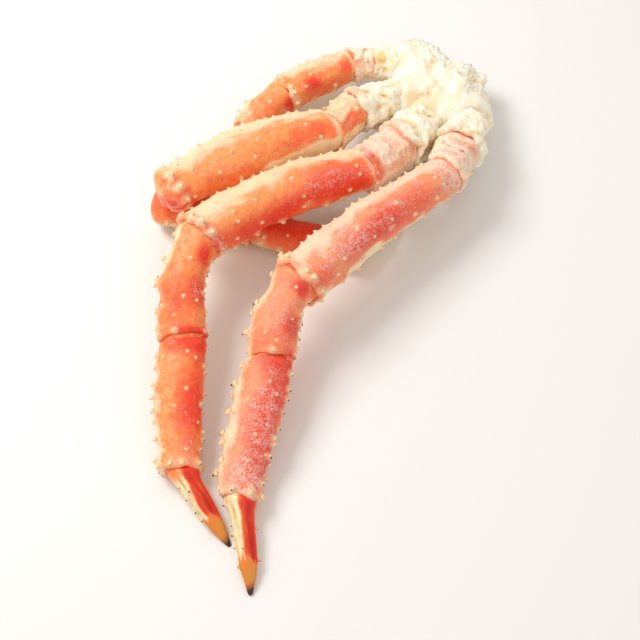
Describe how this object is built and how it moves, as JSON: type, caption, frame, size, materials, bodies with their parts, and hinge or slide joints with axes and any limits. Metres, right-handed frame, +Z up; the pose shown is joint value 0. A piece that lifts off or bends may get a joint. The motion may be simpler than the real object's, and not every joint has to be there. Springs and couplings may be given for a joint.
{
  "type": "king crab leg cluster",
  "caption": "Cooked frozen king crab legs on a piece of shoulder meat: folded front leg, two long walking legs and a curled claw arm.",
  "frame": {"origin": "centre of the bounding box in plan, on the surface that the cluster lies on", "axes": "+Z up, +Y from the tips of the long legs towards the shoulder, +X towards the rear leg's side of the shoulder"},
  "size_m": [0.2873, 0.4684, 0.0662],
  "materials": {
    "shell": "cooked orange-red crab shell with cream edges, slightly rough, partly frosted",
    "root_shell": "pale cream and pink shell of the leg roots with frost",
    "toe": "smooth shell with cream bands, a bright red stripe and an amber horn tip",
    "meat": "white to cream flaky cooked crab meat, slightly moist",
    "spine": "cream spines with dark brown tips",
    "frost": "small white ice grains"
  },
  "bodies": {
    "root": {"shoulder": "meat", "arm_coxa": "root_shell", "arm_ischium": "root_shell", "arm_merus": "shell", "arm_carpus": "shell", "arm_palm": "shell", "arm_finger": "toe", "leg_front_coxa": "root_shell", "leg_front_ischium": "root_shell", "leg_front_merus": "shell", "leg_front_carpus": "shell", "leg_front_propodus": "shell", "leg_front_dactylus": "toe", "leg_middle_coxa": "root_shell", "leg_middle_ischium": "root_shell", "leg_middle_merus": "shell", "leg_middle_carpus": "shell", "leg_middle_propodus": "shell", "leg_middle_dactylus": "toe", "leg_rear_coxa": "root_shell", "leg_rear_ischium": "root_shell", "leg_rear_merus": "shell", "leg_rear_carpus": "shell", "leg_rear_propodus": "shell", "leg_rear_dactylus": "toe"}
  },
  "joints": []
}
